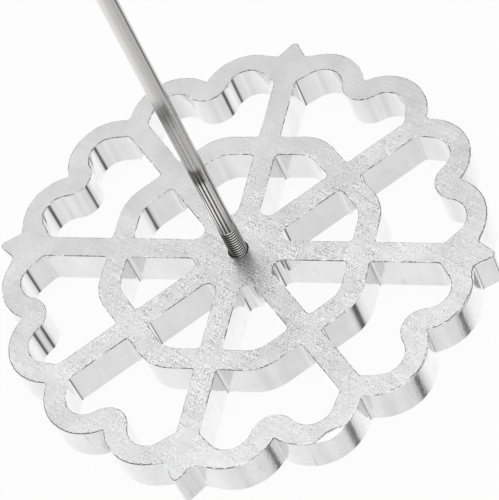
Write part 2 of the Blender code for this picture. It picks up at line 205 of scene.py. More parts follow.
class FlowerSizes(bpy.types.PropertyGroup):
    """Sizes of the flower's outlines, edges and threaded hole."""

    cusp_radius: length("Cusp radius", "From the middle to a pointed tip", HEAD_HIGH.x / MM)
    cusp_reach: length("Cusp reach", "How far a tip stands past the lobes' crests", 2.4)
    spoke_width: length("Spoke width", "Width of each of the eight spokes", 5.3)
    notch_depth: length("Notch depth", "Depth of the notch between two lobes", 5.2)
    lobe_notch_round: length("Lobe notch round", "Round of the notch between spokes", 0.35)
    spoke_notch_round: length("Spoke notch round", "Round of the notch on a spoke", 1.1)
    cusp_tip_round: length("Cusp tip round", "Round of a pointed tip", 1.1)
    cusp_root_round: length("Cusp root round", "Hollow where a tip leaves the lobes", 1.0)
    cusp_root_step: length("Cusp root step", "Distance of that hollow past the lobe", 0.4)
    cusp_half_width: length("Cusp half width", "Half the width of a tip at its root", 2.9)
    crest_wall: length("Crest wall", "Rim thickness at a crest", 4.8)
    notch_wall: length("Notch wall", "Rim thickness at a notch", 5.8)
    window_lobe_round: length("Window lobe round", "Round of an outer window's lobes", 5.3)
    window_corner_round: length("Window corner round", "Round beside a spoke at the rim", 1.8)
    window_corner_step: length("Window corner step", "Distance of that corner past the lobe", 0.7)
    ring_apothem: length("Ring apothem", "From the middle to the ring's outer flats", 32.0)
    ring_wall: length("Ring wall", "Thickness of the inner ring", 5.25)
    ring_outer_round: length("Ring outer round", "Round of the ring's outer corners", 10.6)
    ring_inner_round: length("Ring inner round", "Round of the ring's inner corners", 6.7)
    outer_fillet: length("Outer fillet", "Fillet between spoke and ring, outside", 0.9)
    inner_fillet: length("Inner fillet", "Fillet between spoke and ring, inside", 1.2)
    hub_round: length("Hub round", "Round between two spokes at the hub", 2.2)
    hole_rim_diameter: length("Hole rim diameter", "Countersunk mouth of the hole", 5.0)
    thread_gap: length("Thread gap", "Gap between the rod's thread and the hole's", 0.2)
    drill_point: length("Drill point", "Depth of the cone under the thread", 1.4)
    edge_break: length("Edge break", "Width of the broken sharp edges", 0.17)
    edge_wear: length("Edge wear", "How much that width wanders", 0.06)
    lower_edge: length("Lower edge", "Round of the edges of the lower face", 0.05)
    filed_width: length("Filed width", "Widest filing on the lobes' crests", 0.22)
    filed_drop: length("Filed drop", "Height that the filing takes off", 0.14)
    nick_heading: angle("Nick heading", "Direction of the place filed flat on one lobe", -55.4)
    nick_length: length("Nick length", "Length of the place filed flat", 7.0)
    nick_width: length("Nick width", "Width of the place filed flat", 1.15)
    nick_drop: length("Nick drop", "Height taken off at the place filed flat", 0.6)


class RodSizes(bpy.types.PropertyGroup):
    """Sizes of the rod, its thread, its key and its eye."""

    rod_diameter: length("Rod diameter", "Thickness of the rod", 4.0)
    thread_diameter: length("Thread diameter", "Over the crests of the thread", 4.2)
    thread_pitch: length("Thread pitch", "Distance between two turns", 0.8)
    thread_depth: length("Thread depth", "From crest to root", 0.42)
    thread_bare: length("Bare thread", "Thread that shows above the flower", 8.8)
    thread_lead_in: length("Lead-in", "Chamfer at the rod's tip", 0.5)
    shoulder: length("Shoulder", "Run-out between thread and rod", 0.45)
    key_start: length("Key start", "From the ferrule's foot to the flattened key", 4.2)
    key_width: length("Key width", "Width of the key inside the grip", 8.0)
    key_thickness: length("Key thickness", "Thickness of the key", 2.4)
    key_length: length("Key length", "Length of the key", 10.0)
    key_blend: length("Key blend", "Length over which the rod is flattened", 1.0)
    eye_neck: length("Eye neck", "Straight rod between washer and eye", 0.8)
    eye_radius: length("Eye radius", "Centre line of the hanging eye", 9.0)
    eye_neck_round: length("Neck round", "Bend between the rod and its eye", 5.5)
    eye_end_gap: length("Eye end gap", "Gap between the eye's end and the rod", 2.8)


class HandleSizes(bpy.types.PropertyGroup):
    """Sizes of the ferrule, the grip and the washer."""

    bore_gap: length("Bore gap", "Gap between the rod and what it passes through", 0.35)
    ferrule_diameter: length("Ferrule diameter", "Outside of the cup", 18.0)
    ferrule_mouth: length("Ferrule mouth", "Outside of the bead at its mouth", 19.4)
    ferrule_wall: length("Ferrule wall", "Thickness of its sheet", 0.9)
    ferrule_round: length("Ferrule round", "Round of its lower edge", 1.8)
    bead_round: length("Bead round", "Round of the bead", 0.7)
    seat_gap: length("Seat gap", "Gap between pieces that seat on each other", 0.3)
    collar_diameter: length("Collar diameter", "Grip beside the ferrule", 20.0)
    collar_edge: length("Collar edge", "Round of the collar's lower edge", 0.8)
    belly_diameter: length("Belly diameter", "Thickest place of the grip", 25.0)
    waist_diameter: length("Waist diameter", "Thinnest place of the grip", 19.5)
    bulb_diameter: length("Bulb diameter", "Swell at the grip's end", 24.5)
    end_diameter: length("End diameter", "Flat end of the grip", 15.5)
    washer_edge: length("Washer edge", "Round of the washer's edges", 0.3)
    collar_share: factor("Collar place", "Along the grip, from the ferrule", 0.04)
    belly_share: factor("Belly place", "Along the grip, from the ferrule", 0.36)
    waist_share: factor("Waist place", "Along the grip, from the ferrule", 0.70)
    bulb_share: factor("Bulb place", "Along the grip, from the ferrule", 0.91)


class Finishes(bpy.types.PropertyGroup):
    """Colours and roughnesses of the finishes."""

    sawn_colour: colour("Sawn aluminium", "Flat faces of the flower", (0.74, 0.74, 0.745))
    sawn_roughness: factor("Sawn roughness", "Roughness of the flat faces", 0.34)
    wall_colour: colour("Extruded aluminium", "Upright walls of the flower", (0.85, 0.85, 0.855))
    wall_roughness: factor("Wall roughness", "Roughness of the windows' walls", 0.10)
    rim_roughness: factor("Rim roughness", "Roughness of the sanded outer wall", 0.16)
    steel_colour: colour("Polished steel", "Rod and eye", (0.60, 0.595, 0.58))
    steel_roughness: factor("Steel roughness", "Roughness of the rod", 0.22)
    plate_colour: colour("Plated steel", "Ferrule and washer", (0.66, 0.65, 0.62))
    plate_roughness: factor("Plate roughness", "Roughness of the plating", 0.24)
    beech_light: colour("Light beech", "Pale wood between the rings", (0.64, 0.41, 0.22))
    beech_dark: colour("Dark beech", "Late wood and flecks", (0.44, 0.25, 0.12))
    beech_roughness: factor("Beech roughness", "Roughness of the oiled wood", 0.46)


class StageSettings(bpy.types.PropertyGroup):
    """Camera, floor and light."""

    aim: place("Aim", "Point in the middle of the picture", (2.79, -0.14, 9.0))
    azimuth: angle("Azimuth", "Heading from the aim to the camera", -54.662)
    elevation: angle("Elevation", "Height of the camera above the floor's plane", 49.906)
    roll: angle("Roll", "Tilt of the camera about its own axis", -27.491)
    distance: length("Distance", "From the aim to the camera", 549.52)
    focal_length: bpy.props.FloatProperty(
        name="Focal length", description="Lens of the camera",
        default=175.86, subtype="DISTANCE_CAMERA", unit="CAMERA",
    )
    floor_size: length("Floor size", "Side of the floor", 8000.0)
    floor_drop: length("Floor drop", "Gap between the flower and the floor", 0.02)
    backdrop: colour("Backdrop", "Floor and surroundings as the camera sees them", (0.985, 0.985, 0.985))
    shadow_share: factor("Shadow share", "How much of the floor's white takes shadow", 0.05)
    gap_azimuth: angle("Gap azimuth", "Heading of the dark gap in the light tent", -2.0)
    lamp_place: place("Lamp place", "Where the soft lamp hangs", (-500.0, 500.0, 900.0))
    lamp_size: length("Lamp size", "Side of the soft lamp", 900.0)
    lamp_power: bpy.props.FloatProperty(
        name="Lamp power", description="Power of the soft lamp",
        default=0.25, min=0.0, subtype="POWER", unit="POWER",
    )


class RosetteIronSettings(bpy.types.PropertyGroup):
    """Everything a user would change."""

    flower: bpy.props.PointerProperty(type=FlowerSizes, name="Flower", description="Flower sizes")
    rod: bpy.props.PointerProperty(type=RodSizes, name="Rod", description="Rod sizes")
    handle: bpy.props.PointerProperty(type=HandleSizes, name="Handle", description="Handle sizes")
    finishes: bpy.props.PointerProperty(type=Finishes, name="Finishes", description="Colours")
    stage: bpy.props.PointerProperty(type=StageSettings, name="Stage", description="Camera, light")


# Outlines of the flower: belts round circles


def wrapped(angles):
    """Angles brought between minus and plus half a turn."""
    return (angles + math.pi) % math.tau - math.pi


def runs(counts):
    """For rows repeated so many times each, the row of every copy and its place in the run."""
    owner = np.repeat(np.arange(len(counts)), counts)
    return owner, np.arange(counts.sum()) - np.repeat(np.cumsum(counts) - counts, counts)


def belt(rounds):
    """Outline that runs round circles like a belt round pulleys, as points and headings.

    Each row of rounds is (x, y, radius); a positive radius lies left of the belt and a
    negative one right of it. Between two circles the belt keeps one heading: that of the
    line between their centres, less the arcsine of the difference of their radii over the
    centres' distance. On a circle the point is the centre plus the radius times the
    heading's right-hand side.
    """
    centres, radii = rounds[:, :2], rounds[:, 2]
    run = np.roll(centres, -1, axis=0) - centres
    lean = (np.roll(radii, -1) - radii) / np.linalg.norm(run, axis=1)
    leaving = np.arctan2(run[:, 1], run[:, 0]) - np.arcsin(np.clip(lean, -1.0, 1.0))
    arriving = np.roll(leaving, 1)
    sweep = wrapped(leaving - arriving)
    counts = np.maximum(2, np.ceil(np.abs(sweep) / TURN_STEP).astype(int) + 1)
    owner, step = runs(counts)
    heading = arriving[owner] + sweep[owner] * step / (counts[owner] - 1)
    points = centres[owner] + radii[owner, None] * right_of(heading)
    apart = np.linalg.norm(points - np.roll(points, 1, axis=0), axis=1) > SAME_POINT
    return points[apart], heading[apart]


def right_of(heading):
    """Unit vectors a quarter turn to the right of the headings."""
    return np.stack([np.sin(heading), -np.cos(heading)], axis=-1)


def spaced(points, heading):
    """A closed outline with further points put in, at equal shares of its long stretches."""
    after, heading_after = np.roll(points, -1, axis=0), np.roll(heading, -1)
    stretch = np.linalg.norm(after - points, axis=1)
    pieces = np.maximum(1, np.ceil(stretch / OUTLINE_SPACING)).astype(int)
    owner, step = runs(pieces)
    share = step / pieces[owner]
    between = points[owner] + (after - points)[owner] * share[:, None]
    bent = heading[owner] + wrapped(heading_after - heading)[owner] * share
    return between, bent


def turned(rounds, turn):
    """Rounds turned about the flower's middle."""
    cosine, sine = math.cos(turn), math.sin(turn)
    x, y, radius = rounds.T
    return np.stack([x * cosine - y * sine, x * sine + y * cosine, radius], axis=1)


def mirrored(rounds):
    """Rounds in reverse, reflected in the line midway between two spokes."""
    x, y, radius = rounds[::-1].T
    cosine, sine = math.cos(SPOKE_ANGLE), math.sin(SPOKE_ANGLE)
    return np.stack([x * cosine + y * sine, x * sine - y * cosine, radius], axis=1)


def on_ray(distance, heading, radius):
    """One round whose centre lies at a distance and heading from the middle."""
    return np.array([[distance * math.cos(heading), distance * math.sin(heading), radius]])


def crest_radius(sizes):
    """From the middle to the crests of the lobes."""
    return sizes.cusp_radius - sizes.cusp_reach


def lobe_round(sizes):
    """The round of the lobe on the X axis: the circle through its crest and two notches."""
    crest = crest_radius(sizes)
    notch = crest - sizes.notch_depth
    centre = (crest**2 - notch**2) / (2.0 * (crest - notch * math.cos(LOBE_ANGLE / 2.0)))
    return on_ray(centre, 0.0, crest - centre)


def touching(circle, radius, sideways):
    """X of the centre of a round that touches a circle from outside, a given way sideways."""
    x, y, circle_radius = circle
    return x + math.sqrt((circle_radius + radius) ** 2 - (y - sideways) ** 2)


def cusp_rounds(sizes):
    """A pointed tip on the X axis between the hollows where it leaves the lobes."""
    above = turned(lobe_round(sizes), LOBE_ANGLE / 2.0)[0]
    hollow = sizes.cusp_root_round
    y = sizes.cusp_half_width + hollow
    x = touching(above, hollow, y) + sizes.cusp_root_step
    tip = sizes.cusp_radius - sizes.cusp_tip_round
    return np.array([[x, -y, -hollow], [tip, 0.0, sizes.cusp_tip_round], [x, y, -hollow]])


def notch_rounds(sizes, radius):
    """The small hollow in the notch on the X axis."""
    above = turned(lobe_round(sizes), LOBE_ANGLE / 2.0)[0]
    return np.array([[touching(above, radius, 0.0), 0.0, -radius]])


def rim_rounds(sizes):
    """The flower's outer edge: notches or cusps and lobes in turn."""
    lobes_per_spoke = LOBES // SPOKES
    parts = []
    for index in range(LOBES):
        if index % (SPOKES_PER_CUSP * lobes_per_spoke) == 0:
            between = cusp_rounds(sizes)
        elif index % lobes_per_spoke == 0:
            between = notch_rounds(sizes, sizes.spoke_notch_round)
        else:
            between = notch_rounds(sizes, sizes.lobe_notch_round)
        parts += [
            turned(between, index * LOBE_ANGLE),
            turned(lobe_round(sizes), (index + 0.5) * LOBE_ANGLE),
        ]
    return np.vstack(parts)


def outer_window_rounds(sizes):
    """Window between two spokes, the lobed rim and the inner ring."""
    half_spoke, middle = sizes.spoke_width / 2.0, SPOKE_ANGLE / 2.0
    crest = crest_radius(sizes)
    lobe = on_ray(
        crest - sizes.crest_wall - sizes.window_lobe_round, LOBE_ANGLE / 2.0, sizes.window_lobe_round
    )
    corner_round = sizes.window_corner_round
    corner = [[lobe[0, 0] + sizes.window_corner_step, half_spoke + corner_round, corner_round]]
    fillet = sizes.outer_fillet
    half = np.vstack([[[sizes.ring_apothem + fillet, half_spoke + fillet, fillet]], corner, lobe])
    along, sideways, _ = turned(lobe, -middle)[0]
    apex = crest - sizes.notch_depth - sizes.notch_wall
    inset = apex - along
    bulge = (inset**2 + sideways**2 - lobe[0, 2] ** 2) / (2.0 * (lobe[0, 2] - inset))
    ring = (sizes.ring_apothem - sizes.ring_outer_round) / math.cos(middle)
    return np.vstack([
        half,
        on_ray(apex + bulge, middle, -bulge),
        mirrored(half),
        on_ray(ring, middle, -sizes.ring_outer_round),
    ])


def inner_window_rounds(sizes):
    """Window between two spokes inside the ring, round at the hub."""
    half_spoke, middle = sizes.spoke_width / 2.0, SPOKE_ANGLE / 2.0
    apothem, fillet = sizes.ring_apothem - sizes.ring_wall, sizes.inner_fillet
    corner = np.array([[apothem - fillet, half_spoke + fillet, fillet]])
    ring = (apothem - sizes.ring_inner_round) / math.cos(middle)
    hub = (half_spoke + sizes.hub_round) / math.sin(middle)
    return np.vstack([
        on_ray(hub, middle, sizes.hub_round),
        corner,
        on_ray(ring, middle, sizes.ring_inner_round),
        mirrored(corner),
    ])


# Meshes of the pieces


def grid_quads(rows, columns, close_rows=False):
    """Corner numbers of the faces of a grid of points whose columns close on themselves."""
    row = np.arange(rows if close_rows else rows - 1)[:, None]
    column = np.arange(columns)[None, :]
    next_row, next_column = (row + 1) % rows * columns, (column + 1) % columns
    corners = (row * columns + column, row * columns + next_column,
               next_row + next_column, next_row + column)
    return np.stack(np.broadcast_arrays(*corners), axis=-1).reshape(-1, 4)


def ring_fan(first, columns, pole):
    """Triangles from a ring of points to one point."""
    ring = first + np.arange(columns)
    return np.stack([ring, first + (np.arange(columns) + 1) % columns, np.full(columns, pole)], axis=1)


def around(rows, steps):
    """Unit circle for a grid: cosines and sines of equal steps, and the angles."""
    angles = np.linspace(0.0, math.tau, steps, endpoint=False)[None, :] + np.zeros((rows, 1))
    return np.cos(angles), np.sin(angles), angles


def placed(name, data):
    """Puts data into the scene as a new object."""
    thing = bpy.data.objects.new(name, data)
    bpy.context.scene.collection.objects.link(thing)
    return thing


def make_piece(name, points, faces, finishes, body, nodes, face_finish=None, flat=None,
               edge=None):
    """Puts points and faces into a closed mesh that faces outwards and rides on its body.

    The face finish is each face's number in the list of finishes, flat says which faces
    are shaded flat, and the edge is each point's distance from the flat face beside it.
    """
    mesh = bpy.data.meshes.new(name)
    mesh.from_pydata(points.tolist(), [], [corners for part in faces for corners in part.tolist()])
    for finish in finishes:
        mesh.materials.append(finish)
    smooth = np.ones(len(mesh.polygons), bool)
    if flat is not None:
        smooth[flat] = False
    mesh.polygons.foreach_set("use_smooth", smooth)
    if face_finish is not None:
        mesh.polygons.foreach_set("material_index", face_finish)
    if edge is not None:
        mesh.attributes.new("edge", "FLOAT", "POINT").data.foreach_set("value", edge)
    shell = bmesh.new()
    shell.from_mesh(mesh)
    bmesh.ops.remove_doubles(shell, verts=shell.verts, dist=SAME_POINT / 2.0)
    bmesh.ops.recalc_face_normals(shell, faces=shell.faces)
    shell.to_mesh(mesh)
    shell.free()
    piece = placed(name, mesh)
    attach(piece, body)
    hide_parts(*nodes)


def make_grid_piece(name, grid, finish, body, nodes, close_rows=False):
    """Makes a piece of one grid of points with one finish, with its rows closed or not."""
    rows, columns, _ = grid.shape
    faces = [grid_quads(rows, columns, close_rows)]
    make_piece(name, grid.reshape(-1, 3), faces, [finish], body, nodes)


class Shell:
    """Points and faces gathered part by part.

    The kinds are the faces' finish numbers, the edges the points' distances from the flat
    face beside them.
    """

    def __init__(self):
        self.points, self.faces, self.kinds, self.edges = [], [], [], []
        self.total = 0

    def add(self, points, parts, kinds, edges=None):
        """Adds points, and arrays of faces whose corners are counted from the first point."""
        self.points.append(points)
        self.faces += [self.total + faces for faces in parts]
        self.kinds.append(kinds)
        self.edges.append(np.zeros(len(points)) if edges is None else edges)
        self.total += len(points)


def ripple(along, longest, shortest, terms, seed):
    """Sum of sines along a closed outline, each with a whole number of waves, about 1 high."""
    whole = along[-1]
    chance = np.random.default_rng(seed)
    waves = chance.integers(int(whole / longest), int(whole / shortest) + 1, terms)
    phases = chance.uniform(0.0, math.tau, terms)
    turns = math.tau * np.outer(along, waves) / whole
    return np.sin(turns + phases).sum(axis=1) / math.sqrt(terms / 2.0)


def smooth_step(value, low, high):
    """0 below low, 1 above high, and 3t squared less 2t cubed between them."""
    share = np.clip((value - low) / (high - low), 0.0, 1.0)
    return share * share * (3.0 - 2.0 * share)


def edge_widths(sizes, points, seed, on_rim):
    """Width and depth of the broken edge at each point of an outline.

    Everywhere the width wanders about the edge break. On the rim it grows towards the
    filed width with the point's nearness to a crest, most where the flower was held
    against the wheel, and one place is filed flat: one less the square of the distance
    from its middle over its half length.
    """
    steps = np.linalg.norm(points - np.roll(points, 1, axis=0), axis=1)
    along = np.cumsum(steps)
    wear = ripple(along, *FINE_WEAR, seed)
    width = sizes.edge_break + sizes.edge_wear * np.clip(wear, -1.5, 2.5)
    drop = width.copy()
    if on_rim:
        crest, notch = crest_radius(sizes), sizes.notch_depth
        radius = np.linalg.norm(points, axis=1)
        heading = np.arctan2(points[:, 1], points[:, 0])
        nearness = smooth_step(radius, crest - 0.75 * notch, crest - 0.1 * notch)
        tips = smooth_step(radius, crest, crest + 0.5 * sizes.cusp_reach)
        held = ((1.0 + np.cos(heading - HELD_HEADING)) / 2.0) ** 4
        filing = (0.2 + 0.8 * held) * nearness * (1.0 - tips)
        filing *= 1.0 + 0.3 * ripple(along, *BROAD_WEAR, seed + 1)
        sideways = radius * np.sin(heading - sizes.nick_heading) / (sizes.nick_length / 2.0)
        nick = np.clip(1.0 - sideways**2, 0.0, 1.0) * (np.cos(heading - sizes.nick_heading) > 0.0)
        width += sizes.filed_width * filing + sizes.nick_width * nick
        drop += sizes.filed_drop * filing + sizes.nick_drop * nick
    return width, drop


def wall_grid(points, heading, side, width, drop, low_edge, height):
    """Upright wall along an outline, from the lower face to the upper one.

    Row by row from below: a quarter round, the wall with a margin at each end that keeps
    its shading flat, and a quarter ellipse whose inset is the width times one less the
    cosine and whose height is the drop times the sine.
    """
    angles = np.linspace(0.0, math.pi / 2.0, EDGE_STEPS + 1)
    low_inset = low_edge * (1.0 - np.sin(angles))[:, None] + np.zeros(len(points))
    low_z = low_edge * (1.0 - np.cos(angles))[:, None] + np.zeros(len(points))
    high_inset = (1.0 - np.cos(angles))[:, None] * width
    high_z = height - drop * (1.0 - np.sin(angles))[:, None]
    margin = 2.0 * low_edge
    inset = np.vstack([low_inset, 0.0 * width, 0.0 * width, high_inset])
    z = np.vstack([low_z, low_z[-1] + margin, high_z[0] - margin, high_z])
    plan = points - side * right_of(heading) * inset[:, :, None]
    return np.concatenate([plan, z[:, :, None]], axis=2)


def flat_faces(loops, height):
    """Triangles that fill the outer loop but not the loops inside it, at one height."""
    corners = np.vstack(loops)
    counts = [len(loop) for loop in loops]
    starts = np.cumsum([0] + counts)
    order = [list(range(start, start + count)) for start, count in zip(starts, counts)]
    flat = list(map(Vector, corners.tolist()))
    plan, _, faces, *_ = delaunay_2d_cdt(flat, [], order, 2, SAME_POINT / 10.0)
    return np.column_stack([np.array(plan), np.full(len(plan), height)]), np.array(faces)


def shoulder_height(rod):
    """Where the rod's thread ends."""
    return HEAD_HIGH.z + rod.thread_bare


def key_height(rod):
    """Where the rod's flattened key begins."""
    return FERRULE_LOW.z + rod.key_start


def bore_radius(settings):
    """Radius of the bores that the rod passes through."""
    return settings.rod.rod_diameter / 2.0 + settings.handle.bore_gap


def thread_radius(sizes, turn, z, reach):
    """Radius of the screw surface at a turn about the axis and a height.

    The thread's phase is the height over the pitch less the share of a full turn, so it
    is right-handed. Its depth is a triangle wave with its peaks and roots cut flat, eased
    between them, times the reach, which is 1 along the thread and 0 where it has ended.
    """
    phase = (z / sizes.thread_pitch - turn / math.tau) % 1.0
    wave = 1.0 - np.abs(2.0 * phase - 1.0)
    cut = smooth_step(wave, THREAD_FLAT, 1.0 - THREAD_FLAT)
    return sizes.thread_diameter / 2.0 - sizes.thread_depth * cut * reach


def hole_grid(flower, rod):
    """Threaded wall of the blind hole, from the mouth's cone down to the rod's tip and a gap.

    The radius at each height is the larger of the thread's and the mouth's, which is the
    rim's radius less the depth.
    """
    depth = HEAD_HIGH.z - ROD_LOW.z + flower.thread_gap
    rows = int(depth / (rod.thread_pitch / ROWS_PER_TURN))
    z = np.linspace(HEAD_HIGH.z, HEAD_HIGH.z - depth, rows)[:, None]
    cosine, sine, turn = around(rows, ROD_STEPS)
    rim = flower.hole_rim_diameter / 2.0
    radius = thread_radius(rod, turn, z, 1.0) + flower.thread_gap
    radius = np.maximum(radius, rim - (HEAD_HIGH.z - z))
    radius[0] = rim
    return np.stack([radius * cosine, radius * sine, z + np.zeros_like(radius)], axis=2)


def add_walls(shell, sizes):
    """Adds the walls of the rim and the windows, and gives their lower and upper outlines."""
    windows = [
        turned(window, index * SPOKE_ANGLE)
        for window in (outer_window_rounds(sizes), inner_window_rounds(sizes))
        for index in range(SPOKES)
    ]
    outlines = [(rim_rounds(sizes), 1.0)] + [(window, -1.0) for window in windows]
    lows, highs = [], []
    for number, (rounds, side) in enumerate(outlines):
        plan, heading = spaced(*belt(rounds))
        width, drop = edge_widths(sizes, plan, WEAR_SEED + SEEDS_APART * number, side > 0.0)
        wall = wall_grid(plan, heading, side, width, drop, sizes.lower_edge, HEAD_HIGH.z)
        rows, columns, _ = wall.shape
        kinds = np.full(rows - 1, RIM if side > 0.0 else WALL)
        kinds[-EDGE_STEPS:] = EDGE
        away = np.linalg.norm(wall - wall[-1], axis=2).ravel()
        parts = [grid_quads(rows, columns)]
        shell.add(wall.reshape(-1, 3), parts, np.repeat(kinds, columns), away)
        lows.append(wall[0, :, :2])
        highs.append(wall[-1, :, :2])
    return lows, highs


def add_hole(shell, sizes, rod):
    """Adds the threaded hole with the cone of its drill point, and gives its upper outline."""
    hole = hole_grid(sizes, rod)
    rows, columns, _ = hole.shape
    pole = [0.0, 0.0, hole[-1, 0, 2] - sizes.drill_point]
    cone = ring_fan((rows - 1) * columns, columns, rows * columns)
    shell.add(
        np.vstack([hole.reshape(-1, 3), pole]), [grid_quads(rows, columns), cone],
        np.full(rows * columns, THREAD),
    )
    return hole[0, :, :2]


def make_flower(settings):
    """The flower: walls along seventeen outlines, two flat faces and the threaded hole."""
    sizes, look = settings.flower, settings.finishes
    shell = Shell()
    lows, highs = add_walls(shell, sizes)
    highs.append(add_hole(shell, sizes, settings.rod))
    flat_start = sum(len(kinds) for kinds in shell.kinds)
    for loops, z in ((lows, 0.0), (highs, HEAD_HIGH.z)):
        plan, triangles = flat_faces(loops, z)
        shell.add(plan, [triangles], np.full(len(triangles), FACE))
    finishes = [
        sawn_aluminium(look),
        extruded_aluminium("extruded_aluminium", look, look.wall_roughness, 0.0),
        broken_edge(settings),
        tapped_aluminium(look),
        extruded_aluminium("sanded_aluminium", look, look.rim_roughness, 1.0),
    ]
    make_piece(
        "flower", np.vstack(shell.points), shell.faces, finishes,
        "mould", ["mould_head"], face_finish=np.concatenate(shell.kinds),
        flat=slice(flat_start, None), edge=np.concatenate(shell.edges),
    )


def rod_line(sizes):
    """Centre line of the rod, tip first: x, z, lean from upright, and the straight rows' count.

    Straight up the axis, then a bend to +X whose x is the neck round times one less the
    cosine of the lean, then back round the eye, whose points are at the eye radius from
    its centre on the axis and whose lean is minus their polar angle.
    """
    tip, shoulder = ROD_LOW.z, shoulder_height(sizes)
    neck = WASHER_HIGH.z + sizes.eye_neck
    key, blend = key_height(sizes), sizes.key_blend
    key_top = key + sizes.key_length
    heights = np.concatenate([
        [tip, tip],
        np.arange(tip, shoulder + sizes.shoulder, sizes.thread_pitch / ROWS_PER_TURN),
        np.linspace(shoulder + 2.0 * sizes.shoulder, key - blend, ROD_ROWS),
        np.linspace(key, key_top, KEY_ROWS),
        np.linspace(key_top + blend, neck, NECK_ROWS, endpoint=False),
    ])
    bend_round, radius = sizes.eye_neck_round, sizes.eye_radius
    rise = math.sqrt((radius + bend_round) ** 2 - bend_round**2)
    bend = math.atan2(rise, bend_round)
    lean = np.linspace(0.0, bend, BEND_ROWS, endpoint=False)
    opening = 2.0 * math.asin((sizes.rod_diameter + sizes.eye_end_gap) / (2.0 * radius))
    polar = np.linspace(-bend, math.tau - opening - bend, EYE_ROWS)
    polar = np.append(polar, polar[-1])
    upright = np.zeros(len(heights))
    x = np.concatenate([upright, bend_round * (1.0 - np.cos(lean)), radius * np.cos(polar)])
    z = np.concatenate([
        heights, neck + bend_round * np.sin(lean), neck + rise + radius * np.sin(polar)
    ])
    return x, z, np.concatenate([upright, lean, -polar]), len(heights)


def make_rod(settings):
    """The rod: a circle carried along its centre line, threaded, flattened and bent.

    Where the rod is straight its radius is the thread's below the shoulder. In the key the
    circle becomes an oblong: its half widths are scaled and its corners filled out. The
    first and last circles shrink to points, which close the ends.
    """
    sizes = settings.rod
    x, z, lean, straight = rod_line(sizes)
    cosine, sine, turn = around(len(x), ROD_STEPS)
    half, shoulder = sizes.rod_diameter / 2.0, shoulder_height(sizes)
    upright = (np.arange(len(x)) < straight)[:, None]
    level = z[:, None]
    reach = 1.0 - smooth_step(level, shoulder - 1.2 * sizes.shoulder, shoulder)
    reach = reach * smooth_step(level, ROD_LOW.z - sizes.thread_pitch, ROD_LOW.z + sizes.thread_pitch)
    screw = thread_radius(sizes, turn, level, reach)
    screw = np.minimum(screw, half - sizes.thread_lead_in + (level - ROD_LOW.z))
    above = smooth_step(level, shoulder - 0.2 * sizes.shoulder, shoulder + sizes.shoulder)
    radius = np.where(upright, screw + (half - screw) * above, half)
    key = key_height(sizes)
    inside = (z >= key - SAME_POINT) & (z <= key + sizes.key_length + SAME_POINT) & upright[:, 0]
    flat = inside.astype(float)[:, None]
    wide = radius * cosine * (1.0 - flat) + flat * sizes.key_width / 2.0 * squared(cosine)
    thin = radius * sine * (1.0 - flat) + flat * sizes.key_thickness / 2.0 * squared(sine)
    tilt_x, tilt_z = np.cos(lean)[:, None], -np.sin(lean)[:, None]
    grid = np.stack([x[:, None] + wide * tilt_x, thin, level + wide * tilt_z], axis=2)
    grid[0] = (0.0, 0.0, ROD_LOW.z)
    grid[-1] = (x[-1], 0.0, z[-1])
    make_grid_piece(
        "rod", grid, polished_steel(settings), "handle", ["handle_rod"]
    )


def squared(value):
    """A cosine or sine pushed towards plus or minus 1, which makes a circle a rounded square."""
    return np.sign(value) * np.abs(value) ** KEY_POWER


def lathe(profile):
    """A closed profile of (radius, height) rows turned about Z, as a grid."""
    cosine, sine, _ = around(len(profile), ROUND_STEPS)
    radius, height = profile[:, :1], profile[:, 1:]
    return np.stack([radius * cosine, radius * sine, height + 0.0 * cosine], axis=2)


def make_ferrule(settings):
    """Drawn cup: a belt round the rounds of its section, turned about Z."""
    sizes, bore = settings.handle, bore_radius(settings)
    outer, mouth = sizes.ferrule_diameter / 2.0, sizes.ferrule_mouth / 2.0
    wall, bead, corner = sizes.ferrule_wall, sizes.bead_round, sizes.ferrule_round
    low, high = FERRULE_LOW.z, FERRULE_HIGH.z
    lip = wall / 5.0
    inner = outer - wall
    profile, _ = belt(np.array([
        [bore + lip, low + lip, lip],
        [outer - corner, low + corner, corner],
        [outer + bead, high - 3.2 * bead, -bead],
        [mouth - bead, high - bead, bead],
        [inner + lip, high - lip, lip],
        [inner - corner / 2.0, low + wall + corner / 2.0, -corner / 2.0],
        [bore + lip, low + wall - lip, lip],
    ]))
    make_grid_piece(
        "ferrule_cup", lathe(profile), plated_steel(settings.finishes),
        "ferrule", ["ferrule"], close_rows=True,
    )


def make_washer(settings):
    """Flat washer with rounded edges: a belt round four small rounds, turned about Z."""
    sizes, bore = settings.handle, bore_radius(settings)
    edge, outer = sizes.washer_edge, WASHER_HIGH.x
    low, high = WASHER_LOW.z, WASHER_HIGH.z
    profile, _ = belt(np.array([
        [bore + edge, low + edge, edge],
        [outer - edge, low + edge, edge],
        [outer - edge, high - edge, edge],
        [bore + edge, high - edge, edge],
    ]))
    make_grid_piece(
        "washer", lathe(profile), plated_steel(settings.finishes),
        "handle", ["end_washer"], close_rows=True,
    )


def swell(sizes, share):
    """The grip's radius at shares of its length.

    Between two of its swells the radius blends with half of one less the cosine of the
    share of the way, and past the bulb it falls as a quarter ellipse to the flat end.
    """
    places = [sizes.collar_share, sizes.belly_share, sizes.waist_share, sizes.bulb_share]
    widths = [sizes.collar_diameter, sizes.belly_diameter, sizes.waist_diameter, sizes.bulb_diameter]
    radius = np.full(share.shape, widths[0] / 2.0)
    for start, end, low, high in zip(places, places[1:], widths, widths[1:]):
        way = np.clip((share - start) / (end - start), 0.0, 1.0)
        radius = radius + (high - low) / 2.0 * (1.0 - np.cos(math.pi * way)) / 2.0
    fall = np.clip((share - places[-1]) / (1.0 - places[-1]), 0.0, 1.0)
    drop = (sizes.bulb_diameter - sizes.end_diameter) / 2.0
    return radius - drop * (1.0 - np.sqrt(1.0 - fall**2))


